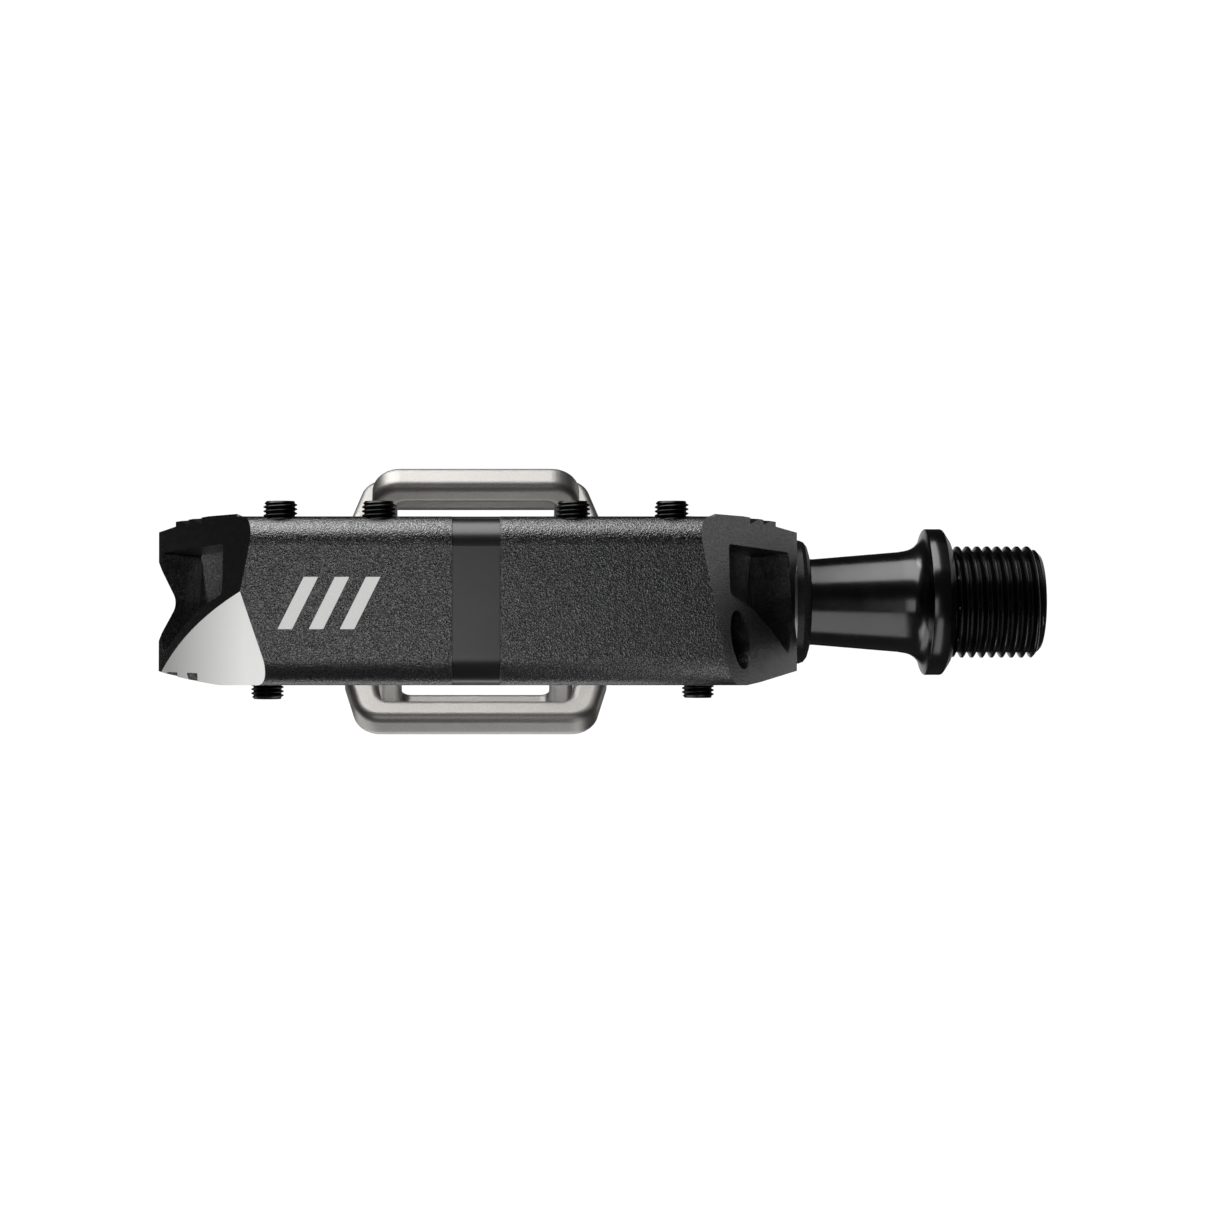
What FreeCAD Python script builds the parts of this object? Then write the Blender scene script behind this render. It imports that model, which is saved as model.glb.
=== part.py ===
"""Clipless platform pedal of the four-bar looped-wing kind, as an assembly of separate pieces.

Millimetres, +Z up. The row's origin is the centre of the crank shoulder on the spindle's axis, and +X runs
along the spindle into the crank. Shapes are drawn about the middle of the pedal and are moved by
-SHOULDER_X when they are written. The pedal is two-sided: its underside is its top turned half round X.
"""
import FreeCAD, Part
import math
import os

os.makedirs("parts", exist_ok=True)

# spindle, from the crank inwards
SHOULDER_X = 60.4          # crank shoulder, from the pedal's middle
THREAD_R = 7.14            # 9/16 inch - 20 crank thread, major radius
THREAD_LENGTH = 11.7
HEX_SOCKET = 8.0           # across flats
FLANGE_R = 9.35
JOURNAL_R = 5.5            # inboard bushing journal
WAIST_R = 5.0
BEARING_SEAT_R = 3.0
SPINDLE_END_R = 2.5
RUNNING_GAP = 0.05         # radial, for every shaft in its bore

# body
BODY_OUT_X = 39.5          # outboard end
BODY_IN_X = 40.2           # inboard end
BODY_Y = 38.0              # half the front-to-back depth
BODY_Z = 9.78              # half height at the front edge
CROWN_Z = 10.2             # half height over the middle
CROWN_Y = 20.0
END_Z = 8.65               # half height at the two ends
EDGE_ROUND = 3.4
BAR_INNER_Y = 31.0
BAND_HALF = 2.78
BAND_DEPTH = 0.22
FACET_X = 26.5             # facets leave the front face here, at z = FACET_Z0
FACET_SLOPE = 0.475        # outwards, per mm of depth
FACET_LEAN = 0.2           # outwards, per mm downwards
FACET_Z0 = 5.0
FACET_DEPTH = 28.8         # from the front face to where the facet stands upright
BOSS_R = 9.6
BOSS_INNER_X = 17.4
STRUT_X0 = 22.2
STRUT_X1 = 30.2
CORE_R = 7.0               # bore through both bosses
BEARING_R = 6.5
CAP_R = 7.0
CAP_FLOOR_X = 35.0
VALLEY_DEPTH = 2.05
POCKET_DEPTH = 4.6         # of the corner pockets, square to their facets
TEETH_BACK_Y = -9.0        # the grip teeth run back to here
END_WASHER_R = 10.25       # pale washer let into the inboard end
END_WASHER_X = 39.85
END_WASHER_FLAT = 8.0      # half the distance across its two flats

# wings
SLEEVE_BORE_R = 5.6
SLEEVE_HALF = 24.5
WING_HUB_R = 10.3
WING_ANGLE = 136.3         # from +Y towards +Z, the inner wing's front bar
BAR_RADIUS = 20.75         # bar centre from the spindle's axis
BAR_RADIAL = 3.3
BAR_WIDE = 3.7
BAR_ROUND = 1.1
CORNER_OUT = 3.5            # a wing's corners, outside and inside
CORNER_IN = 1.2
KNEE_RADIUS = 15.0         # an outer wing's leg is widest here
INNER_HUB = (9.75, 12.8)   # |x| of the inner wing's two hub rings
OUTER_HUB = (13.1, 16.3)
SPRING_WIRE = 2.3
SPRING_R = 8.75
SPRING_PITCH = 2.75
SPRING_TURNS = 6

# traction pins, M4 set screws
PIN_R = 2.0
PIN_LENGTH = 10.0
PIN_TIP_Z = 11.65
SHORT_PIN_TIP_Z = 11.4
LEAD_PIN_TIP_Z = 11.9
ROW_Y = 34.2
ROW_X = (-22.85, -11.35, 11.35, 22.85)
STRUT_PINS = ((-25.4, 19.0), (27.5, 13.0))

X_AXIS = FreeCAD.Vector(1, 0, 0)
ORIGIN = FreeCAD.Vector(0, 0, 0)


def vec(x, y, z):
    return FreeCAD.Vector(x, y, z)


def cyl_x(radius, x0, x1):
    return Part.makeCylinder(radius, x1 - x0, vec(x0, 0, 0), X_AXIS)


def ring_x(outer, inner, x0, x1):
    return cyl_x(outer, x0, x1).cut(cyl_x(inner, x0, x1))


def block(x0, x1, y0, y1, z0, z1):
    return Part.makeBox(x1 - x0, y1 - y0, z1 - z0, vec(x0, y0, z0))


def prism(points, along):
    """A solid from a closed outline of vectors, pushed along a vector."""
    face = Part.Face(Part.makePolygon(points + [points[0]]))
    return face.extrude(along)


def turned(profile):
    """A solid of revolution about X from (x, radius) points that start and end on the axis."""
    points = [vec(x, 0, r) for x, r in profile]
    face = Part.Face(Part.makePolygon(points + [points[0]]))
    return face.revolve(ORIGIN, X_AXIS, 360)


def underside(shape):
    """The same shape turned half round the spindle's axis."""
    copy = shape.copy()
    copy.rotate(ORIGIN, X_AXIS, 180)
    return copy


def rounded(solid, radius, chosen):
    """Fillet the edges for which chosen(edge) is true."""
    return solid.makeFillet(radius, [e for e in solid.Edges if chosen(e)])


def runs_along(edge, direction):
    if not isinstance(edge.Curve, Part.Line):
        return False
    return abs(edge.Curve.Direction.dot(direction)) > 0.999


def hexagon(flats, x0, x1):
    corner = flats / math.sqrt(3)
    points = [vec(x0, corner * math.cos(math.pi * k / 3), corner * math.sin(math.pi * k / 3))
              for k in range(6)]
    return prism(points, vec(x1 - x0, 0, 0))


def write(node, shape):
    if not shape.isValid():
        raise ValueError(node + " is not a valid shape")
    moved = shape.copy()
    moved.translate(vec(-SHOULDER_X, 0, 0))
    moved.exportStep("parts/" + node + ".step")


# ---------------------------------------------------------------- spindle and bearings

def make_spindle():
    end = SHOULDER_X + THREAD_LENGTH
    profile = [(-34.4, 0), (-34.4, SPINDLE_END_R - 0.4), (-34.0, SPINDLE_END_R),
               (-30.0, SPINDLE_END_R), (-30.0, BEARING_SEAT_R), (-25.0, BEARING_SEAT_R),
               (-25.0, 4.2), (-22.0, WAIST_R), (24.0, WAIST_R), (24.5, JOURNAL_R), (43.2, JOURNAL_R),
               (54.0, 6.4), (55.5, 6.75), (56.5, 7.4), (57.2, 8.3), (57.6, FLANGE_R),
               (59.4, FLANGE_R), (SHOULDER_X, 8.2), (SHOULDER_X, THREAD_R),
               (end - 1.0, THREAD_R), (end, 6.2), (end, 0)]
    socket = hexagon(HEX_SOCKET, end - 9.0, end + 1.0)
    mouth = turned([(end - 0.4, 0), (end - 0.4, 4.4), (end + 0.1, 4.9), (end + 0.1, 0)])
    return turned(profile).cut(socket).cut(mouth)


def make_bearing_balls(count=9, radius=1.1, pitch_r=4.75, x=-27.5):
    balls = []
    for k in range(count):
        turn = 2 * math.pi * k / count
        balls.append(Part.makeSphere(radius, vec(x, pitch_r * math.cos(turn), pitch_r * math.sin(turn))))
    return Part.makeCompound(balls)


def race_groove(radius, pitch_r=4.75, x=-27.5):
    return Part.makeTorus(pitch_r, radius, vec(x, 0, 0), X_AXIS)


def make_bearing_ring(outer, inner):
    return ring_x(outer, inner, -30.0, -25.0).cut(race_groove(1.15))


def make_bearing_shields():
    shields = [ring_x(5.28, 4.35, x, x + 0.3) for x in (-29.9, -25.4)]
    return Part.makeCompound(shields)


# ---------------------------------------------------------------- body

def body_profile():
    """The end view, pushed through: rounded front and back edges under a slight crown."""
    corners = [(-BODY_Y, -BODY_Z), (-CROWN_Y, -CROWN_Z), (CROWN_Y, -CROWN_Z), (BODY_Y, -BODY_Z),
               (BODY_Y, BODY_Z), (CROWN_Y, CROWN_Z), (-CROWN_Y, CROWN_Z), (-BODY_Y, BODY_Z)]
    length = BODY_OUT_X + BODY_IN_X
    solid = prism([vec(-BODY_OUT_X, y, z) for y, z in corners], vec(length, 0, 0))
    return rounded(solid, EDGE_ROUND, lambda e: runs_along(e, X_AXIS)
                   and abs(e.CenterOfMass.y) > BODY_Y - 0.1 and abs(e.CenterOfMass.z) > BODY_Z - 0.1)


def side_taper():
    """The front view, pushed through: both ends fall away towards their corners."""
    rise = [(34.0, 9.7), (30.0, 10.15), (27.0, 11.0)]
    left = [(-BODY_OUT_X, END_Z), (-37.0, 9.2)] + [(-x, z) for x, z in rise]
    right = list(reversed(rise)) + [(37.0, 9.2), (BODY_IN_X, END_Z)]
    outline = left + right
    outline += [(x, -z) for x, z in reversed(outline)]
    return prism([vec(x, -50, z) for x, z in outline], vec(0, 100, 0))


def grip_teeth(side):
    """The raised block at an upper front corner that the grip teeth are cut from."""
    points = [(28.0, 8.5), (28.0, CROWN_Z), (32.0, 10.18), (36.9, 9.8), (36.9, 8.5)]
    return prism([vec(side * x, -BODY_Y + 1, z) for x, z in points], vec(0, BODY_Y - 1 + TEETH_BACK_Y, 0))


def facet_lean(depth):
    """How far the facet leans outwards per mm downwards, at this depth behind the front face."""
    return FACET_LEAN * (1 - depth / FACET_DEPTH)


def facet_x(depth, z):
    return FACET_X + FACET_SLOPE * depth + facet_lean(depth) * (FACET_Z0 - z)


def facet_point(side, x, z):
    """The point of the front corner facet that lies at this |x| and z."""
    drop = FACET_LEAN * (FACET_Z0 - z)
    depth = (x - FACET_X - drop) / (FACET_SLOPE - drop / FACET_DEPTH)
    return vec(side * x, -BODY_Y + depth, z)


def facet_normal(side):
    """The facet's outward normal halfway along it."""
    normal = vec(side, -FACET_SLOPE, FACET_LEAN / 2)
    return normal.normalize()


def facet_cutter(side):
    """A solid whose inner face is the front corner facet, which leans at the front and is upright at the end."""
    sections = []
    for depth in (-4.0, FACET_DEPTH + 1):
        corners = [(facet_x(depth, -14), -14), (60, -14), (60, 14), (facet_x(depth, 14), 14)]
        points = [vec(side * x, -BODY_Y + depth, z) for x, z in corners]
        sections.append(Part.makePolygon(points + [points[0]]))
    return Part.makeLoft(sections, True, True)


def silver_cutter():
    """The solid beyond the flat cut that bares the lower corner of the outboard front facet."""
    top = facet_point(-1, 26.9, 1.26)
    low = vec(-24.2, -BODY_Y, -8.0)
    end = facet_point(-1, 39.04, -8.73)
    normal = low.sub(top).cross(end.sub(top)).normalize()
    if normal.y > 0:
        normal = normal.negative()
    return Part.makeCylinder(60, 30, top, normal)


def facet_plane(side, outline, depth):
    """An outline of (|x|, z) points on a front corner facet, moved into the body by this depth."""
    normal = facet_normal(side)
    level = facet_point(side, 34.0, 0.0).dot(normal) - depth
    rim = [facet_point(side, x, z) for x, z in outline]
    return [point + normal * (level - point.dot(normal)) for point in rim]


def facet_pocket(side):
    """The rounded three-cornered pocket that is milled into a front corner facet."""
    outline = [(29.85, 6.75), (38.9, 6.1), (39.2, 0.5), (38.9, -6.8), (36.3, -3.8), (33.3, -1.05),
               (31.5, -0.05), (29.85, 0.8)]
    solid = prism(facet_plane(side, outline, -1.5), facet_normal(side) * -(1.5 + POCKET_DEPTH))
    solid = solid if solid.Volume > 0 else solid.reversed()
    return rounded(solid, 0.8, lambda e: runs_along(e, facet_normal(side)))


def pocket_well(side):
    """The square well with bevelled walls in the floor of a corner pocket."""
    sections = []
    for depth, far, top in ((POCKET_DEPTH - 0.1, 38.3, 5.9), (POCKET_DEPTH + 1.2, 36.9, 3.8)):
        points = facet_plane(side, [(30.2, top), (far, top), (far, -2.5), (30.2, -2.5)], depth)
        sections.append(Part.makePolygon(points + [points[0]]))
    return Part.makeLoft(sections, True, True)


def facet_slots(side):
    """The slots between the grip teeth on the facet's upper edge, with floors that rise to the back."""
    slots = []
    for x in (33.6, 35.55):
        y = facet_point(side, x, CROWN_Z).y
        outline = [(y - 3, 8.85), (y + 2.8, CROWN_Z + 0.1), (y + 2.8, 13), (y - 3, 13)]
        slots.append(prism([vec(side * x - 0.55, a, z) for a, z in outline], vec(1.1, 0, 0)))
    return slots


def lower_notches():
    """Two small notches in the lower edge of the bare outboard corner."""
    return [block(-x - 0.75, -x + 0.75, y - 3, y + 1.2, -12, -8.7) for x, y in ((34.5, -19.8), (37.4, -14.6))]


def corner_window(side):
    """The upright well between a strut, the boss and the front corner facet."""
    points = [(STRUT_X1, -21.0), (STRUT_X1, -11.0), (34.2, -11.0)]
    return prism([vec(side * x, y, -15) for x, y in points], vec(0, 0, 30))


def lightening_hole():
    """The blind round hole low in the inboard facet."""
    at = facet_point(1, 31.15, -4.6)
    normal = facet_normal(1)
    return Part.makeCylinder(3.5, 8.0, at.add(normal * 3), normal.negative())


def middle_window():
    """The window that the wings stand in, less the two bosses that reach into it."""
    window = block(-STRUT_X0, STRUT_X0, -BAR_INNER_Y, BAR_INNER_Y, -15, 15)
    window = rounded(window, 3.0, lambda e: runs_along(e, vec(0, 0, 1)))
    for x0, x1 in ((-STRUT_X0 - 1, -BOSS_INNER_X), (BOSS_INNER_X, STRUT_X0 + 1)):
        window = window.cut(cyl_x(BOSS_R, x0, x1))
    return window


def end_valley():
    """The rounded valley across the outboard end."""
    apex = (-BODY_OUT_X + VALLEY_DEPTH + 0.3, -0.2)
    points = [(-BODY_OUT_X - 1, 7.1), apex, (-BODY_OUT_X - 1, -6.9)]
    solid = prism([vec(x, -30, z) for x, z in points], vec(0, 60, 0))
    return rounded(solid, 2.6, lambda e: abs(e.CenterOfMass.x - apex[0]) < 0.1 and abs(e.CenterOfMass.y) < 1)


def end_washer_blank(grow, end):
    """The inboard end washer's outline, with its two flats, from its seat out to this x."""
    flat = END_WASHER_FLAT + grow
    return cyl_x(END_WASHER_R + grow, END_WASHER_X, end).common(block(30, 50, -20, 20, -flat, flat))


def pin_spots():
    """(x, y, tip z) of each traction pin that stands on the upper face or, with z < 0, the lower one."""
    front_row = [(x, -ROW_Y, PIN_TIP_Z) for x in ROW_X]
    back_row = [(x, ROW_Y, -SHORT_PIN_TIP_Z) for x in ROW_X]
    back_pair = [(x, y, SHORT_PIN_TIP_Z) for x, y in STRUT_PINS]
    front_pair = [(x, -y, -LEAD_PIN_TIP_Z) for x, y in STRUT_PINS]
    return {"top_front_pins": front_row, "bottom_back_pins": back_row,
            "top_back_pins": back_pair, "bottom_front_pins": front_pair}


def pin_solid(x, y, tip):
    """A set screw standing on its tip side up, with its hex socket in the end that shows."""
    up = 1 if tip > 0 else -1
    height = abs(tip)
    profile = [(height - PIN_LENGTH, 0), (height - PIN_LENGTH, 1.4), (height - PIN_LENGTH + 0.6, PIN_R),
               (height - 0.3, PIN_R), (height, PIN_R - 0.3), (height, 0)]
    solid = turned(profile).cut(hexagon(2.0, height - 2.2, height + 1))
    solid.rotate(ORIGIN, vec(0, 1, 0), -90 * up)
    solid.translate(vec(x, y, 0))
    return solid


def pad_pocket(side, grow):
    x0, x1 = 19.0, 30.6
    y = 8.6 + grow
    low, high = (side * (x0 - grow), side * (x1 + grow)) if side > 0 else (side * (x1 + grow), side * (x0 - grow))
    return block(low, high, -y, y, 8.7, CROWN_Z + 1)


def make_body():
    body = body_profile().common(side_taper())
    front = body.copy()
    cuts = []
    for side in (-1, 1):
        front = front.fuse(grip_teeth(side))
        cuts += [facet_cutter(side), facet_pocket(side), pocket_well(side)] + facet_slots(side)
        cuts.append(corner_window(side))
    cuts += [silver_cutter(), lightening_hole()] + lower_notches()
    half = front.common(block(-60, 60, -60, 0, -20, 20))
    for tool in cuts:
        half = half.cut(tool)
    slab = block(-BAND_HALF, BAND_HALF, -BODY_Y - 1, -BAR_INNER_Y - 1, -20, 20)
    shrunk = body_profile()
    scale = FreeCAD.Matrix()
    scale.A22 = (BODY_Y - BAND_DEPTH) / BODY_Y
    scale.A33 = (BODY_Z - BAND_DEPTH) / BODY_Z
    shrunk = shrunk.transformGeometry(scale)
    half = half.cut(slab).fuse(slab.common(shrunk))
    body = half.fuse(underside(half)).removeSplitter()
    body = body.cut(middle_window()).cut(end_valley())
    body = body.cut(end_washer_blank(0.05, BODY_IN_X + 1))
    body = body.cut(cyl_x(CORE_R, -24.5, -BOSS_INNER_X + 1)).cut(cyl_x(CORE_R, BOSS_INNER_X - 1, BODY_IN_X + 2))
    body = body.cut(cyl_x(BEARING_R, -CAP_FLOOR_X, -24.5)).cut(cyl_x(CAP_R, -BODY_OUT_X - 1, -CAP_FLOOR_X))
    for spots in pin_spots().values():
        for x, y, tip in spots:
            up = 1 if tip > 0 else -1
            depth = abs(tip) - PIN_LENGTH
            start = vec(x, y, up * depth)
            body = body.cut(Part.makeCylinder(PIN_R, 12, start, vec(0, 0, up)))
    for side in (-1, 1):
        body = body.cut(pad_pocket(side, 0.1)).cut(underside(pad_pocket(side, 0.1)))
        body = body.cut(pad_screw_hole(side)).cut(underside(pad_screw_hole(side)))
    return body


def pad_screw_hole(side):
    return Part.makeCylinder(1.25, 1.9, vec(side * 26.4, 0, 7.9 - 0.75), vec(0, 0, 1))


def make_pad(side):
    pad = pad_pocket(side, 0.0).common(block(-50, 50, -20, 20, 8.7, CROWN_Z + 0.15))
    pad = rounded(pad, 0.5, lambda e: runs_along(e, vec(0, 0, 1)))
    for y in (-5.6, -3.2, 3.2, 5.6):
        pad = pad.cut(block(-50, 50, y - 0.4, y + 0.4, CROWN_Z - 0.45, CROWN_Z + 1))
    seat = Part.makeCone(1.3, 2.5, 1.2, vec(side * 26.4, 0, CROWN_Z + 0.15 - 1.2), vec(0, 0, 1))
    return pad.cut(seat).cut(Part.makeCylinder(1.3, 3, vec(side * 26.4, 0, 8), vec(0, 0, 1)))


def pad_screw(side):
    top = CROWN_Z - 0.05
    head = Part.makeCone(1.25, 2.3, 1.05, vec(side * 26.4, 0, top - 1.05), vec(0, 0, 1))
    shank = Part.makeCylinder(1.25, top - 1.05 - 7.2, vec(side * 26.4, 0, 7.2), vec(0, 0, 1))
    socket = hexagon(1.5, top - 0.9, top + 1)
    socket.rotate(ORIGIN, vec(0, 1, 0), -90)
    socket.translate(vec(side * 26.4, 0, 0))
    return head.fuse(shank).removeSplitter().cut(socket)


# ---------------------------------------------------------------- wings and spring

def arch(bar_out, bar_in, knee_out, foot_in):
    """One side of a wing: a bar and two legs, drawn on the XZ plane and given its thickness along Y."""
    top = BAR_RADIUS + BAR_RADIAL / 2
    under = BAR_RADIUS - BAR_RADIAL / 2
    foot = WING_HUB_R - 2.0
    outer = [(-knee_out, foot), (-knee_out, KNEE_RADIUS), (-bar_out, top), (bar_out, top),
             (knee_out, KNEE_RADIUS), (knee_out, foot)]
    inner = [(foot_in, foot - 1), (foot_in, foot + 2.6), (bar_in, under), (-bar_in, under),
             (-foot_in, foot + 2.6), (-foot_in, foot - 1)]
    half = BAR_WIDE / 2
    solid = prism([vec(x, -half, r) for x, r in outer], vec(0, BAR_WIDE, 0))
    solid = rounded(solid, CORNER_OUT, lambda e: runs_along(e, vec(0, 1, 0)) and e.CenterOfMass.z > top - 0.5)
    gap = prism([vec(x, -half - 1, r) for x, r in inner], vec(0, BAR_WIDE + 2, 0))
    gap = rounded(gap, CORNER_IN, lambda e: runs_along(e, vec(0, 1, 0)) and e.CenterOfMass.z > under - 0.5)
    solid = solid.cut(gap)
    return rounded(solid, BAR_ROUND, lambda e: abs(abs(e.CenterOfMass.y) - half) < 0.01
                   and e.CenterOfMass.z > foot + 0.2)


def make_wing(hub, bar_out, bar_in, knee_out, foot_in, angle):
    """Two arches half a turn apart on a pair of hub rings."""
    half = arch(bar_out, bar_in, knee_out, foot_in)
    wing = half.fuse(underside(half))
    for side in (-1, 1):
        x0, x1 = sorted((side * hub[0], side * hub[1]))
        wing = wing.fuse(cyl_x(WING_HUB_R, x0, x1))
    wing = wing.removeSplitter().cut(cyl_x(CORE_R + RUNNING_GAP, -20, 20))
    wing.rotate(ORIGIN, X_AXIS, angle - 90)
    return wing


def make_spring():
    height = SPRING_TURNS * SPRING_PITCH
    helix = Part.makeHelix(SPRING_PITCH, height, SPRING_R)
    section = Part.Wire(Part.makeCircle(SPRING_WIRE / 2, vec(SPRING_R, 0, 0), vec(0, 1, 0)))
    coil = Part.Wire(helix).makePipeShell([section], True, True)
    coil.rotate(ORIGIN, vec(0, 1, 0), 90)
    coil.translate(vec(-height / 2, 0, 0))
    return coil


# ---------------------------------------------------------------- write every node

def make_seal():
    return turned([(38.6, 0), (38.6, CORE_R), (BODY_IN_X, CORE_R), (BODY_IN_X, 7.85), (41.35, 7.9),
                   (41.85, 7.7), (42.2, 7.25), (42.4, 6.6), (42.45, 5.9), (42.45, 0)]).cut(
                       cyl_x(JOURNAL_R + RUNNING_GAP, 38, 44))


def make_end_cap():
    face = -BODY_OUT_X + VALLEY_DEPTH
    cap = turned([(face, 0), (face, CAP_R - 0.2), (face + 0.2, CAP_R), (-CAP_FLOOR_X, CAP_R),
                  (-CAP_FLOOR_X, 0)])
    groove = ring_x(CAP_R + 1, CAP_R - 0.8, -36.6, -35.7)
    return cap.cut(groove).cut(hexagon(6.0, face - 1, face + 1.6))


def main():
    write("spindle", make_spindle())
    write("spindle_end_nut", hexagon(8.0, -34.1, -30.8).cut(cyl_x(SPINDLE_END_R, -35, -30)))
    write("end_washer", ring_x(4.1, SPINDLE_END_R + 0.1, -30.8, -30.0))
    write("bearing_inner_ring", make_bearing_ring(4.2, BEARING_SEAT_R))
    write("bearing_balls", make_bearing_balls())
    write("bearing_outer_ring", make_bearing_ring(BEARING_R, 5.3))
    write("bearing_shields", make_bearing_shields())
    write("core_sleeve", ring_x(CORE_R, SLEEVE_BORE_R, -SLEEVE_HALF, SLEEVE_HALF))
    write("inboard_bushing", ring_x(CORE_R, JOURNAL_R + RUNNING_GAP, SLEEVE_HALF, 38.4))
    write("inboard_seal", make_seal())
    write("inboard_end_washer", end_washer_blank(0.0, BODY_IN_X).cut(cyl_x(CORE_R + RUNNING_GAP, 38, 42)))
    write("end_cap", make_end_cap())
    write("end_cap_o_ring", Part.makeTorus(CAP_R - 0.42, 0.4, vec(-36.15, 0, 0), X_AXIS))
    write("pedal_body", make_body())
    for node, spots in pin_spots().items():
        write(node, Part.makeCompound([pin_solid(*spot) for spot in spots]))
    for name, side in (("outboard", -1), ("inboard", 1)):
        write("top_" + name + "_pad", make_pad(side))
        write("bottom_" + name + "_pad", underside(make_pad(side)))
        washer = sorted((side * 16.45, side * 17.25))
        write(name + "_wing_washer", ring_x(10.4, CORE_R, *washer))
    screws = [pad_screw(-1), pad_screw(1)]
    write("pad_screws", Part.makeCompound(screws + [underside(s) for s in screws]))
    write("inner_wing", make_wing(INNER_HUB, 12.8, 9.75, 12.8, 9.75, WING_ANGLE))
    write("outer_wing", make_wing(OUTER_HUB, 14.4, 11.5, 16.3, 13.1, 180 - WING_ANGLE))
    write("wing_spring", make_spring())


main()
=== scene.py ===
"""Looks of the clipless pedal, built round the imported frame. Metres, same frame as the CAD model."""
import math

import bmesh
import bpy
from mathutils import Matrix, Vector


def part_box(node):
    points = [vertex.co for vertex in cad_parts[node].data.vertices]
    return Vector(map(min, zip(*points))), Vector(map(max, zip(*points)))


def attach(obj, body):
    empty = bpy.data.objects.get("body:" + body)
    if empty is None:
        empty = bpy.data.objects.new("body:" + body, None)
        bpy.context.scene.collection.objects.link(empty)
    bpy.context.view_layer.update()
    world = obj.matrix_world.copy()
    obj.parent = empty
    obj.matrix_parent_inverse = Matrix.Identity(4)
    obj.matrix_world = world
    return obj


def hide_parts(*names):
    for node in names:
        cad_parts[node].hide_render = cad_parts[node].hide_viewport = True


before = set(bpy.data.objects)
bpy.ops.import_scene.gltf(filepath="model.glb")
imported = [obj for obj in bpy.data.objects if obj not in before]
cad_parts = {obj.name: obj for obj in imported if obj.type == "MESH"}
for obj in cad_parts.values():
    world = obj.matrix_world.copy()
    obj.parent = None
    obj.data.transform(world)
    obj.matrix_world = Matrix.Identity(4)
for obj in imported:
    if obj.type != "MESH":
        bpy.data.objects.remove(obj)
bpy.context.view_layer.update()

MM = 0.001
BODY_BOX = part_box("pedal_body")
SPRING_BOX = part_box("wing_spring")
SPINDLE_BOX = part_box("spindle")
MIDDLE_X = (SPRING_BOX[0][0] + SPRING_BOX[1][0]) / 2      # the pedal's middle on the spindle's axis
FRONT_Y = BODY_BOX[0][1]

THREAD_R = 7.14 * MM
THREAD_PITCH = 1.27 * MM
PIN_R = 2.0 * MM
PIN_PITCH = 0.5 * MM

BAND_HALF_WIDTH = 2.78 * MM      # the smooth band round the front and back bars
EDGE = 0.02 * MM                 # half the width of the band's soft edge
BAR_INNER_Y = 31.3 * MM          # where the bars begin, from the spindle's axis
BARE_MATT_SHARE = 0.25           # keeps the bare corner visible where no light is mirrored in it

ROW_PINS_X = (-22.85 * MM, -11.35 * MM, 11.35 * MM, 22.85 * MM)
ROW_PINS_Y = 34.2 * MM
STRUT_PINS = ((-25.4 * MM, 19.0 * MM), (27.5 * MM, 13.0 * MM))

# The front corner facets, as the CAD shapes them.
FACET_X = 26.5 * MM              # they leave the front face here, at the height FACET_Z0
FACET_Z0 = 5.0 * MM
FACET_SLOPE = 0.475              # outwards, per length of depth
FACET_LEAN = 0.2                 # outwards, per length downwards
FACET_DEPTH = 28.8 * MM          # from the front face to where they stand upright

# Three corners of the flat cut that bares the outboard front corner: out from the middle, and height.
BARE_TOP = (26.9 * MM, 1.26 * MM)
BARE_LOW = (24.2 * MM, -8.0 * MM)
BARE_END = (39.04 * MM, -8.73 * MM)

LENS = 89.05                     # long enough for the photo's mild perspective
SHIFT = (0.1112, 0.0062)
CAMERA_AWAY = 385 * MM
CAMERA_ASIDE = -0.47 * MM        # from the pedal's middle
CAMERA_UP = -1.6 * MM            # from the spindle's axis
FLOOR_Z = -0.36
FLOOR_REACH = 0.62


# The softboxes: name, place and aim in mm from the pedal's middle, width and height in mm, radiance.
SOFTBOXES = (
    ("overhead", (-205, -115, 500), (-205, -115, 0), (548, 550), 2.2),
    ("overhead_right", (290, -115, 500), (290, -115, 0), (400, 550), 0.05),
    ("front_card", (-35, -240, -36), (-35, 0, -36), (100, 114), 0.86),
    ("under_spindle", (54, -63, -90), (54, 0, 0), (34, 127), 0.80),
    ("under_wings", (-5, -3, -38), (-5, -3, 0), (60, 22), 1.0),
    ("left_low", (-380, 190, -210), (0, 0, 0), (350, 270), 0.86),
    ("left_high", (-350, 170, 500), (50, 0, 0), (200, 200), 2.1),
    ("right_back", (355, 345, 45), (0, 0, 0), (350, 300), 0.33),
    ("behind", (0, 550, 0), (0, 0, 0), (300, 250), 0.5),
)


# ---------------------------------------------------------------- materials

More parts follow.
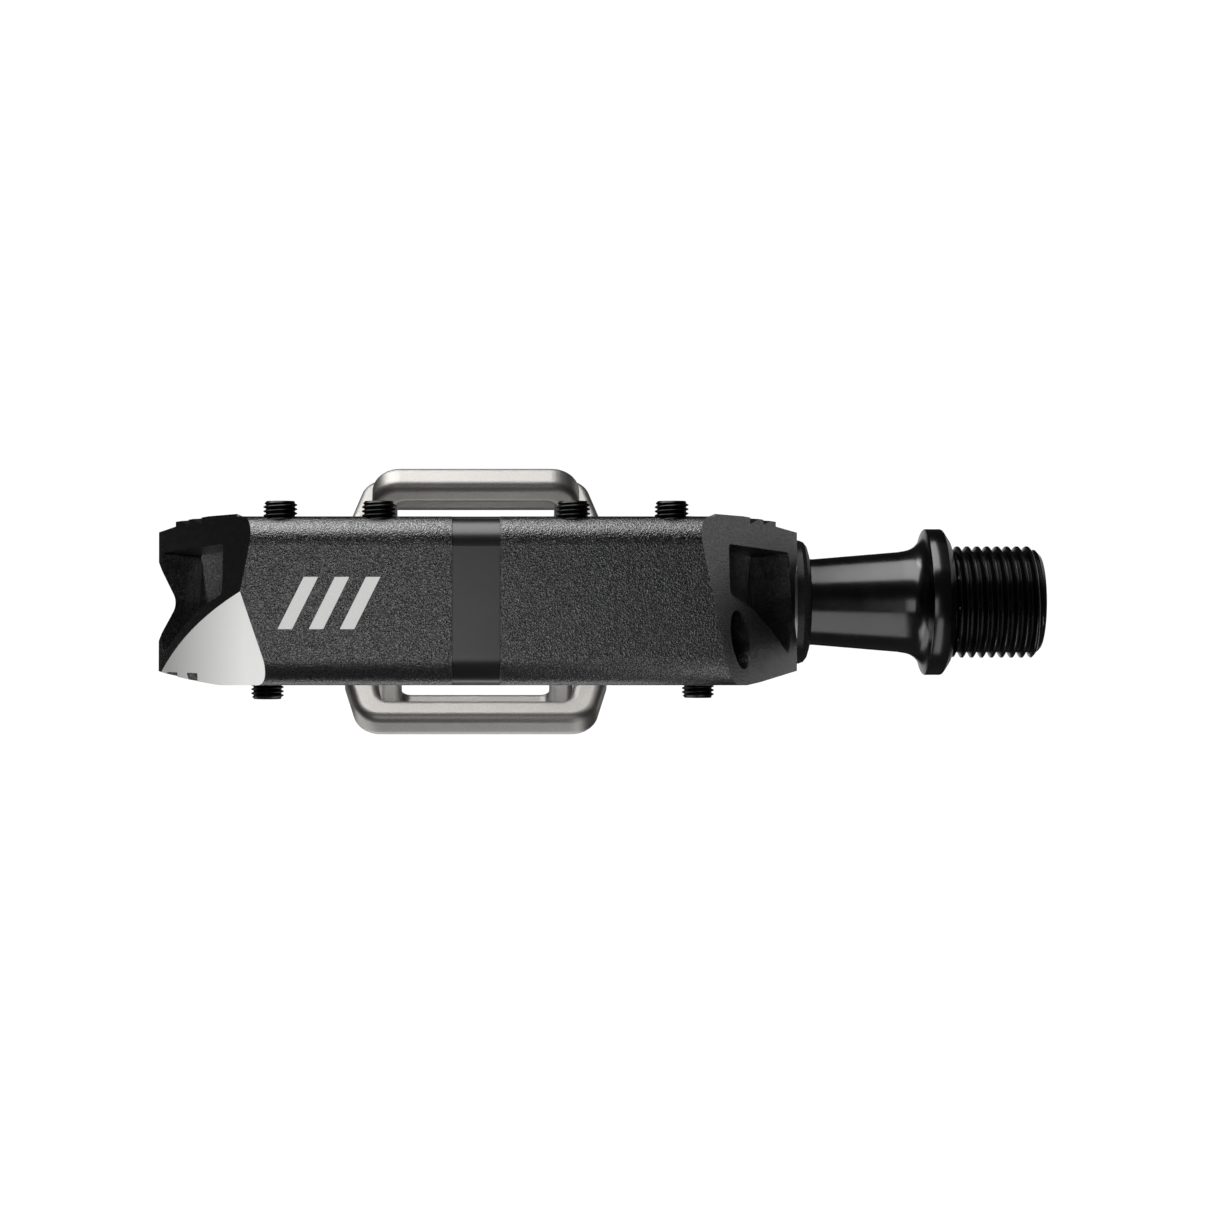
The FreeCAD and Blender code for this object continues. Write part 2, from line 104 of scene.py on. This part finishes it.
class Paint:
    """A small helper for building one node material."""

    def __init__(self, name):
        self.material = bpy.data.materials.new(name)
        self.material.use_nodes = True
        self.nodes = self.material.node_tree.nodes
        self.links = self.material.node_tree.links
        self.shader = self.nodes["Principled BSDF"]
        self.coordinates = self.nodes.new("ShaderNodeTexCoord")
        self.place = self.coordinates.outputs["Object"]

    def add(self, kind, inputs=None, **settings):
        node = self.nodes.new("ShaderNode" + kind)
        for key, value in settings.items():
            setattr(node, key, value)
        for key, value in (inputs or {}).items():
            if isinstance(value, bpy.types.NodeSocket):
                self.links.new(value, node.inputs[key])
            else:
                node.inputs[key].default_value = value
        return node

    def noise(self, size, detail=2.0, roughness=0.5, stretch=None):
        """Noise whose features are about this size in metres, from 0 to 1."""
        place = self.place
        if stretch:
            place = self.add("Mapping", {"Vector": place, "Scale": stretch}).outputs["Vector"]
        node = self.add("TexNoise", {"Vector": place, "Scale": 1.0 / size, "Detail": detail,
                                     "Roughness": roughness})
        return node.outputs["Fac"]

    def math(self, operation, a, b=0.0, clamp=False):
        node = self.add("Math", {0: a, 1: b}, operation=operation, use_clamp=clamp)
        return node.outputs[0]

    def remap(self, value, low, high, out_low=0.0, out_high=1.0):
        node = self.add("MapRange", {"Value": value, "From Min": low, "From Max": high,
                                     "To Min": out_low, "To Max": out_high})
        return node.outputs["Result"]

    def mix(self, factor, a, b):
        """Blend two colours."""
        node = self.add("Mix", data_type="RGBA")
        for index, value in ((0, factor), (6, a), (7, b)):
            if isinstance(value, bpy.types.NodeSocket):
                self.links.new(value, node.inputs[index])
            elif index:
                node.inputs[index].default_value = (*value, 1.0)
            else:
                node.inputs[index].default_value = value
        return node.outputs[2]

    def bump(self, height, distance, strength=1.0):
        inputs = {"Height": height, "Distance": distance, "Strength": strength}
        return self.add("Bump", inputs).outputs["Normal"]

    def set(self, **values):
        """Give the shader its inputs, by name with _ for a space."""
        for key, value in values.items():
            socket = self.shader.inputs[key.replace("_", " ")]
            if isinstance(value, bpy.types.NodeSocket):
                self.links.new(value, socket)
            elif isinstance(value, tuple):
                socket.default_value = (*value, 1.0)
            else:
                socket.default_value = value
        return self.material


def body_paint():
    """Bead-blasted black anodising with a sparkling grain, one smooth band and one bare machined corner,
    whose colour carries painted shading: pale inboard, dark outboard.
    """
    paint = Paint("blasted_black_alloy")
    grain = paint.noise(0.22 * MM, 1.0, 0.6)
    fine = paint.noise(0.11 * MM, 1.0, 0.5)
    cloud = paint.noise(4 * MM, 3.0)
    bead = paint.math("ADD", grain, paint.math("MULTIPLY", fine, 0.4))
    separate = paint.add("SeparateXYZ", {0: paint.place})
    across = paint.math("ABSOLUTE", paint.math("SUBTRACT", separate.outputs["X"], MIDDLE_X))
    band = paint.remap(across, BAND_HALF_WIDTH - EDGE, BAND_HALF_WIDTH + EDGE, 1.0, 0.0)
    depth = paint.math("ABSOLUTE", separate.outputs["Y"])
    outer = paint.remap(depth, BAR_INNER_Y - 0.1 * MM, BAR_INNER_Y + 0.1 * MM)
    smooth = paint.math("MULTIPLY", band, outer)
    silver = silver_mask(paint, separate)
    stripes = stripe_mask(paint, separate)
    rough_share = paint.math("SUBTRACT", 1.0, paint.math("MAXIMUM", smooth, silver), clamp=True)
    base = paint.mix(cloud, (0.140, 0.140, 0.142), (0.157, 0.157, 0.160))
    speckled = paint.mix(paint.remap(bead, 0.45, 0.95), (0.112, 0.112, 0.114), (0.33, 0.33, 0.333))
    dark = paint.mix(rough_share, base, speckled)
    marked = paint.mix(stripes, dark, (0.50, 0.50, 0.49))
    brushed = paint.noise(0.3 * MM, 3.0, 0.5, stretch=(0.4, 0.4, 6.0))
    # Painted shading: the bare corner's colour runs from pale inboard to dark outboard, standing in for
    # light that falls off across it; it is not a colour of the metal.
    painted_light_falloff = paint.remap(across, 27.0 * MM, 38.0 * MM, 1.0, 0.0)
    bare = paint.mix(painted_light_falloff, (0.34, 0.34, 0.335), (0.93, 0.93, 0.92))
    bare = paint.mix(paint.math("MULTIPLY", brushed, 0.10), bare, (0.60, 0.60, 0.59))
    colour = paint.mix(silver, marked, bare)
    height = paint.math("MULTIPLY", bead, rough_share)
    matt = paint.math("MAXIMUM", stripes, paint.math("MULTIPLY", silver, BARE_MATT_SHARE))
    metal = paint.math("SUBTRACT", 1.0, matt, clamp=True)
    roughness = paint.remap(rough_share, 0.0, 1.0, 0.33, 0.26)
    return paint.set(Base_Color=colour, Metallic=metal, Roughness=roughness,
                     Normal=paint.bump(height, 0.055 * MM, 1.0))


def half_turned(paint, x, y, z, side):
    """The vector as it is where side is -1, and turned half round the spindle's axis where it is 1."""
    flip = paint.math("MULTIPLY", side, -1.0)
    return paint.add("CombineXYZ", {"X": x, "Y": paint.math("MULTIPLY", y, flip),
                                    "Z": paint.math("MULTIPLY", z, flip)}).outputs[0]


def silver_mask(paint, separate):
    """1 on the bare machined corner low on the outboard front facet and on its twin, half a turn round."""
    side = paint.math("SIGN", separate.outputs["Y"])
    facing = paint.add("SeparateXYZ", {0: paint.coordinates.outputs["Normal"]})
    facing = half_turned(paint, *[facing.outputs[axis] for axis in "XYZ"], side)
    place = half_turned(paint, *[separate.outputs[axis] for axis in "XYZ"], side)
    corner, normal = silver_plane()
    height = paint.add("VectorMath", {0: place, 1: tuple(normal)}, operation="DOT_PRODUCT").outputs["Value"]
    off = paint.math("ABSOLUTE", paint.math("SUBTRACT", height, corner.dot(normal)))
    on_plane = paint.remap(off, 0.04 * MM, 0.05 * MM, 1.0, 0.0)
    turn = paint.add("VectorMath", {0: facing, 1: tuple(normal)}, operation="DOT_PRODUCT").outputs["Value"]
    return paint.math("MULTIPLY", paint.remap(turn, 0.996, 0.998), on_plane)


def facet_point(out, z):
    """The point of the outboard front facet this far out from the middle, at this height."""
    drop = FACET_LEAN * (FACET_Z0 - z)
    depth = (out - FACET_X - drop) / (FACET_SLOPE - drop / FACET_DEPTH)
    return Vector((MIDDLE_X - out, FRONT_Y + depth, z))


def silver_plane():
    """A point on the flat cut that bares the corner, and the way it faces."""
    top, end = facet_point(*BARE_TOP), facet_point(*BARE_END)
    low = Vector((MIDDLE_X - BARE_LOW[0], FRONT_Y, BARE_LOW[1]))
    normal = (low - top).cross(end - top).normalized()
    return top, (-normal if normal.y > 0 else normal)


def stripe_mask(paint, separate):
    """Three slanted pale stripes on the front face, left of the middle."""
    x = paint.math("SUBTRACT", separate.outputs["X"], MIDDLE_X - 17.0 * MM)
    z = paint.math("ADD", separate.outputs["Z"], 0.27 * MM)
    lean = paint.math("SUBTRACT", x, paint.math("MULTIPLY", z, 0.5))
    wave = paint.math("PINGPONG", paint.math("ADD", paint.math("DIVIDE", lean, 3.6 * MM), 0.5), 0.5)
    line = paint.remap(wave, 0.26, 0.275)
    tall = paint.remap(paint.math("ABSOLUTE", z), 3.0 * MM, 3.05 * MM, 1.0, 0.0)
    wide = paint.remap(paint.math("ABSOLUTE", lean), 5.4 * MM, 5.45 * MM, 1.0, 0.0)
    face = paint.remap(separate.outputs["Y"], FRONT_Y + 0.05 * MM, FRONT_Y + 0.1 * MM, 1.0, 0.0)
    part = paint.math("MULTIPLY", line, tall)
    return paint.math("MULTIPLY", paint.math("MULTIPLY", part, wide), face)


def wing_paint():
    paint = Paint("satin_cast_steel")
    grain = paint.noise(0.14 * MM, 2.0, 0.6)
    cloud = paint.noise(3 * MM, 3.0)
    tint = paint.mix(cloud, (0.52, 0.50, 0.47), (0.62, 0.60, 0.57))
    colour = paint.mix(paint.remap(grain, 0.35, 0.7), tint, (0.70, 0.685, 0.66))
    rough = paint.remap(grain, 0.3, 0.7, 0.40, 0.52)
    return paint.set(Base_Color=colour, Metallic=1.0, Roughness=rough,
                     Normal=paint.bump(grain, 0.03 * MM, 0.6))


def spindle_paint():
    paint = Paint("black_spindle")
    fine = paint.noise(0.1 * MM, 2.0)
    cloud = paint.noise(2.5 * MM, 4.0)
    marks = paint.remap(paint.noise(0.5 * MM, 5.0, 0.7), 0.62, 0.72)
    colour = paint.mix(cloud, (0.115, 0.115, 0.117), (0.14, 0.14, 0.142))
    colour = paint.mix(paint.math("MULTIPLY", marks, 0.5), colour, (0.20, 0.17, 0.155))
    rough = paint.remap(cloud, 0.3, 0.7, 0.17, 0.23)
    return paint.set(Base_Color=colour, Metallic=1.0, Roughness=rough,
                     Normal=paint.bump(fine, 0.004 * MM, 0.5))


def pin_paint():
    paint = Paint("black_oxide")
    fine = paint.noise(0.12 * MM, 2.0)
    colour = paint.mix(fine, (0.05, 0.05, 0.05), (0.08, 0.08, 0.08))
    return paint.set(Base_Color=colour, Metallic=1.0, Roughness=0.30,
                     Normal=paint.bump(fine, 0.005 * MM, 0.5))


def plain_paint(name, low, high, size, metallic, rough, bump):
    """A material that varies between two colours and has a fine bump."""
    paint = Paint(name)
    cloud = paint.noise(size, 3.0)
    fine = paint.noise(size * 0.12, 2.0)
    roughness = paint.remap(fine, 0.3, 0.7, rough - 0.04, rough + 0.04)
    return paint.set(Base_Color=paint.mix(cloud, low, high), Metallic=metallic, Roughness=roughness,
                     Normal=paint.bump(fine, bump, 0.6))


def turned_paint(name, low, high, metallic, rough):
    """Lathe-turned metal: fine rings round the spindle's axis."""
    paint = Paint(name)
    rings = paint.noise(0.15 * MM, 2.0, 0.5, stretch=(1.0, 0.02, 0.02))
    cloud = paint.noise(3 * MM, 3.0)
    roughness = paint.remap(rings, 0.3, 0.7, rough - 0.05, rough + 0.05)
    return paint.set(Base_Color=paint.mix(cloud, low, high), Metallic=metallic, Roughness=roughness,
                     Normal=paint.bump(rings, 0.006 * MM, 0.6))


def dress(node, material):
    """Give a carried-over CAD node its material."""
    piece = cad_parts[node]
    if not piece.material_slots:
        piece.data.materials.append(material)
    for slot in piece.material_slots:
        slot.material = material


# ---------------------------------------------------------------- meshes

def new_piece(name, mesh, material, body, replaced):
    mesh.materials.append(material)
    piece = bpy.data.objects.new(name, mesh)
    bpy.context.scene.collection.objects.link(piece)
    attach(piece, body)
    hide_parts(*replaced)
    return piece


def lathe(mesh_builder, rings, count, place):
    """Rings of vertices joined into one closed skin. A ring is (along, radius of angle) or (along, None),
    a single point on the axis."""
    loops = []
    for along, radius in rings:
        if radius is None:
            loops.append([mesh_builder.verts.new(place(along, 0.0, 0.0))])
            continue
        loop = []
        for k in range(count):
            angle = 2 * math.pi * k / count
            loop.append(mesh_builder.verts.new(place(along, radius(angle), angle)))
        loops.append(loop)
    for a, b in zip(loops, loops[1:]):
        for k in range(count):
            following = (k + 1) % count
            if len(a) == 1:
                corners = (a[0], b[following], b[k])
            elif len(b) == 1:
                corners = (a[k], a[following], b[0])
            else:
                corners = (a[k], a[following], b[following], b[k])
            mesh_builder.faces.new(corners)
    return loops


def round_ring(radius):
    return lambda angle: radius


def hex_ring(flats):
    """Radius of a hexagon with this size across its flats, at each angle."""
    def radius(angle):
        return flats / 2 / math.cos(angle % (math.pi / 3) - math.pi / 6)
    return radius


def thread_depth(phase):
    """How deep a thread's groove is, from 0 at the crest to 1 at the root, at this part of a turn."""
    rise = abs(phase % 1.0 - 0.5) * 2
    groove = min(max((rise - 0.14) / 0.70, 0.0), 1.0)
    return groove * 0.65 + groove * groove * (3 - 2 * groove) * 0.35


def thread_skin(mesh_builder, start, end, pitch, steps, count, radius, place):
    """A helical skin between two places along the axis. Its rows follow the thread, so that the crests are
    crisp. radius(along, phase) must not depend on the phase at either end. Gives its two end loops."""
    rows = int(math.ceil((end - start) / pitch + 1)) * steps
    grid = []
    for j in range(count):
        angle = 2 * math.pi * j / count
        column = []
        for k in range(rows + 1):
            along = start - pitch + (k / steps + j / count) * pitch
            along = min(max(along, start), end)
            column.append(mesh_builder.verts.new(place(along, radius(along, k / steps), angle)))
        grid.append(column)
    for j in range(count):
        ahead = grid[(j + 1) % count]
        shift = steps if j == count - 1 else 0
        for k in range(rows - shift):
            mesh_builder.faces.new((grid[j][k], ahead[k + shift], ahead[k + shift + 1], grid[j][k + 1]))
    return [column[0] for column in grid], [column[-1] for column in grid]


def join_loops(mesh_builder, a, b):
    count = len(a)
    for k in range(count):
        following = (k + 1) % count
        mesh_builder.faces.new((a[k], a[following], b[following], b[k]))


def smooth_mesh(name, builder, crease=35.0):
    bmesh.ops.remove_doubles(builder, verts=builder.verts, dist=0.002 * MM)
    bmesh.ops.dissolve_degenerate(builder, edges=builder.edges, dist=0.001 * MM)
    bmesh.ops.recalc_face_normals(builder, faces=builder.faces)
    mesh = bpy.data.meshes.new(name)
    builder.to_mesh(mesh)
    builder.free()
    mesh.polygons.foreach_set("use_smooth", [True] * len(mesh.polygons))
    mesh.set_sharp_from_angle(angle=math.radians(crease))
    return mesh


def threaded_part(mesh_builder, before, thread, after, count, place):
    """Rings, a helical thread and more rings, joined into one closed skin."""
    low_loop, high_loop = thread_skin(mesh_builder, count=count, place=place, **thread)
    first = lathe(mesh_builder, before, count, place)
    last = lathe(mesh_builder, after, count, place)
    join_loops(mesh_builder, first[-1], low_loop)
    join_loops(mesh_builder, high_loop, last[0])


def spindle_mesh():
    """The spindle with its real crank thread and hex socket."""
    end = SPINDLE_BOX[1][0] - MIDDLE_X
    start = 60.7 * MM
    profile = [(-34.4, 2.1), (-34.0, 2.5), (-30.0, 2.5), (-30.0, 3.0), (-25.0, 3.0), (-25.0, 4.2),
               (-22.0, 5.0), (24.0, 5.0), (24.5, 5.5), (43.2, 5.5), (54.0, 6.4), (55.1, 6.58), (55.7, 6.78),
               (56.2, 7.08), (56.65, 7.55), (57.0, 8.1), (57.2, 8.6), (57.32, 9.1), (57.42, 9.28),
               (57.55, 9.35), (59.35, 9.35), (59.55, 9.28), (59.7, 9.1), (60.4, 8.0), (60.4, 6.6),
               (60.5, 6.45), (60.65, 6.45)]

    def radius(along, phase):
        fade = min(1.0, (along - start) / (0.5 * MM))
        limit = min(THREAD_R, 6.45 * MM + (along - start) * 1.6, 6.05 * MM + (end - along) * 1.09)
        return min(THREAD_R - 0.72 * MM * thread_depth(phase) * fade, limit)

    def place(along, ring, angle):
        return (MIDDLE_X + along, ring * math.cos(angle), ring * math.sin(angle))

    before = [(-34.4 * MM, None)] + [(a * MM, round_ring(r * MM)) for a, r in profile]
    after = [(end, round_ring(5.9 * MM)), (end, round_ring(5.0 * MM)),
             (end - 0.45 * MM, hex_ring(8.0 * MM)), (end - 9.0 * MM, hex_ring(8.0 * MM)),
             (end - 9.0 * MM, round_ring(3.4 * MM)), (end - 10.6 * MM, None)]
    thread = {"start": start, "end": end, "pitch": THREAD_PITCH, "steps": 16, "radius": radius}
    builder = bmesh.new()
    threaded_part(builder, before, thread, after, 180, place)
    return smooth_mesh("spindle_threaded", builder, 30.0)


def pin_mesh(name, spots):
    """Set screws: (x, y, tip z) each, threaded where they stand out, with a hex socket in the tip."""
    builder = bmesh.new()
    for spot_x, spot_y, tip in spots:
        up = 1 if tip > 0 else -1
        height = abs(tip)
        low = height - 9.9 * MM
        start = height - 4.2 * MM

        def place(along, ring, angle, spot_x=spot_x, spot_y=spot_y, up=up):
            return (spot_x + ring * math.cos(angle), spot_y + up * ring * math.sin(angle), up * along)

        def radius(along, phase, start=start, height=height):
            fade = min(1.0, (along - start) / (0.3 * MM))
            limit = min(PIN_R, 1.62 * MM + (height - along) * 0.9)
            return min(PIN_R - 0.32 * MM * thread_depth(phase) * fade, limit)

        before = [(low, None), (low, round_ring(1.4 * MM)), (low + 0.5 * MM, round_ring(1.9 * MM)),
                  (start - 0.1 * MM, round_ring(1.9 * MM))]
        after = [(height, round_ring(1.3 * MM)), (height - 0.2 * MM, hex_ring(2.0 * MM)),
                 (height - 2.2 * MM, hex_ring(2.0 * MM)), (height - 2.6 * MM, None)]
        thread = {"start": start, "end": height, "pitch": PIN_PITCH, "steps": 8, "radius": radius}
        threaded_part(builder, before, thread, after, 48, place)
    return smooth_mesh(name, builder, 40.0)


# ---------------------------------------------------------------- build

def dress_all():
    body = body_paint()
    wing = wing_paint()
    black = pin_paint()
    rubber = plain_paint("seal_rubber", (0.004, 0.004, 0.004), (0.008, 0.008, 0.008), 1.5 * MM, 0.0, 0.28,
                         0.01 * MM)
    pad = plain_paint("pad_polymer", (0.020, 0.020, 0.020), (0.032, 0.032, 0.032), 1.0 * MM, 0.0, 0.6,
                      0.03 * MM)
    bush = plain_paint("bushing_polymer", (0.20, 0.18, 0.10), (0.26, 0.24, 0.14), 1.0 * MM, 0.0, 0.5,
                       0.01 * MM)
    spring = plain_paint("spring_wire", (0.16, 0.16, 0.17), (0.24, 0.24, 0.25), 1.2 * MM, 1.0, 0.3,
                         0.01 * MM)
    ground = turned_paint("ground_steel", (0.62, 0.62, 0.62), (0.70, 0.70, 0.70), 1.0, 0.2)
    sleeve = turned_paint("turned_steel", (0.42, 0.42, 0.42), (0.52, 0.52, 0.52), 1.0, 0.3)
    cap = turned_paint("turned_black_alloy", (0.03, 0.03, 0.032), (0.045, 0.045, 0.048), 0.8, 0.35)
    finishes = {
        "pedal_body": body, "inner_wing": wing, "outer_wing": wing, "wing_spring": spring,
        "inboard_end_washer": sleeve,
        "inboard_seal": rubber, "end_cap_o_ring": rubber, "end_cap": cap, "core_sleeve": sleeve,
        "bearing_shields": sleeve, "bearing_inner_ring": ground, "bearing_outer_ring": ground,
        "bearing_balls": ground, "end_washer": ground, "spindle_end_nut": ground,
        "inboard_bushing": bush, "inboard_wing_washer": bush, "outboard_wing_washer": bush,
        "top_inboard_pad": pad, "top_outboard_pad": pad, "bottom_inboard_pad": pad,
        "bottom_outboard_pad": pad, "pad_screws": black}
    for node, material in finishes.items():
        dress(node, material)
    new_piece("spindle_threaded", spindle_mesh(), spindle_paint(), "spindle", ["spindle"])
    row_x = [MIDDLE_X + a for a in ROW_PINS_X]
    pair = [(MIDDLE_X + a, b) for a, b in STRUT_PINS]
    groups = {
        "top_front_pins": [(a, -ROW_PINS_Y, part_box("top_front_pins")[1][2]) for a in row_x],
        "bottom_back_pins": [(a, ROW_PINS_Y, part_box("bottom_back_pins")[0][2]) for a in row_x],
        "top_back_pins": [(a, b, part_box("top_back_pins")[1][2]) for a, b in pair],
        "bottom_front_pins": [(a, -b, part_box("bottom_front_pins")[0][2]) for a, b in pair]}
    for node, spots in groups.items():
        name = node.replace("pins", "set_screws")
        new_piece(name, pin_mesh(name, spots), black, "cage", [node])


# ---------------------------------------------------------------- stage

def make_floor():
    """A pale disc. Glossy rays see it dark, so that the softboxes alone shape the highlights."""
    builder = bmesh.new()
    rim = [(FLOOR_REACH * math.cos(2 * math.pi * k / 96), FLOOR_REACH * math.sin(2 * math.pi * k / 96))
           for k in range(96)]
    builder.faces.new([builder.verts.new((MIDDLE_X + x, y, FLOOR_Z)) for x, y in rim])
    mesh = bpy.data.meshes.new("floor")
    builder.to_mesh(mesh)
    builder.free()
    paint = Paint("floor_paint")
    shade = paint.noise(0.4, 2.0)
    glossy = paint.add("LightPath").outputs["Is Glossy Ray"]
    pale = paint.mix(shade, (0.86, 0.86, 0.86), (0.89, 0.89, 0.89))
    paint.set(Base_Color=paint.mix(glossy, pale, (0.03, 0.03, 0.03)), Roughness=0.9)
    mesh.materials.append(paint.material)
    floor = bpy.data.objects.new("floor", mesh)
    bpy.context.scene.collection.objects.link(floor)


def make_world():
    """White to the camera and to matt surfaces, dark to glossy ones, so that only the softboxes shine."""
    world = bpy.data.worlds.new("studio")
    bpy.context.scene.world = world
    world.use_nodes = True
    nodes = world.node_tree.nodes
    links = world.node_tree.links
    path = nodes.new("ShaderNodeLightPath")
    dim = nodes["Background"]
    dim.inputs["Color"].default_value = (0.9, 0.9, 0.9, 1.0)
    dim.inputs["Strength"].default_value = 0.02
    white = nodes.new("ShaderNodeBackground")
    white.inputs["Color"].default_value = (1.0, 1.0, 1.0, 1.0)
    white.inputs["Strength"].default_value = 1.05
    either = nodes.new("ShaderNodeMath")
    either.operation = "MAXIMUM"
    mix = nodes.new("ShaderNodeMixShader")
    links.new(path.outputs["Is Camera Ray"], either.inputs[0])
    links.new(path.outputs["Is Diffuse Ray"], either.inputs[1])
    links.new(either.outputs[0], mix.inputs[0])
    links.new(dim.outputs[0], mix.inputs[1])
    links.new(white.outputs[0], mix.inputs[2])
    links.new(mix.outputs[0], nodes["World Output"].inputs["Surface"])


def softbox(name, place, aim, size, radiance):
    """An area light with this radiance. Its place and aim are millimetres from the pedal's middle."""
    middle = Vector((MIDDLE_X, 0.0, 0.0))
    place = middle + Vector(place) * MM
    aim = middle + Vector(aim) * MM
    width, height = (side * MM for side in size)
    light = bpy.data.lights.new(name, "AREA")
    light.shape = "RECTANGLE"
    light.size = width
    light.size_y = height
    light.energy = radiance * math.pi * width * height
    holder = bpy.data.objects.new(name, light)
    holder.location = place
    holder.rotation_euler = (aim - place).to_track_quat("-Z", "Y").to_euler()
    holder.visible_camera = False
    bpy.context.scene.collection.objects.link(holder)


def make_stage():
    make_floor()
    make_world()
    for box in SOFTBOXES:
        softbox(*box)
    scene = bpy.context.scene
    scene.view_settings.view_transform = "Standard"
    eye = bpy.data.cameras.new("camera")
    eye.sensor_width = 36.0
    eye.lens = LENS
    eye.shift_x, eye.shift_y = SHIFT
    eye.clip_start = 0.01
    camera = bpy.data.objects.new("camera", eye)
    camera.location = (MIDDLE_X + CAMERA_ASIDE, -CAMERA_AWAY, CAMERA_UP)
    camera.rotation_euler = (math.pi / 2, 0.0, 0.0)
    scene.collection.objects.link(camera)
    scene.camera = camera


make_stage()
dress_all()
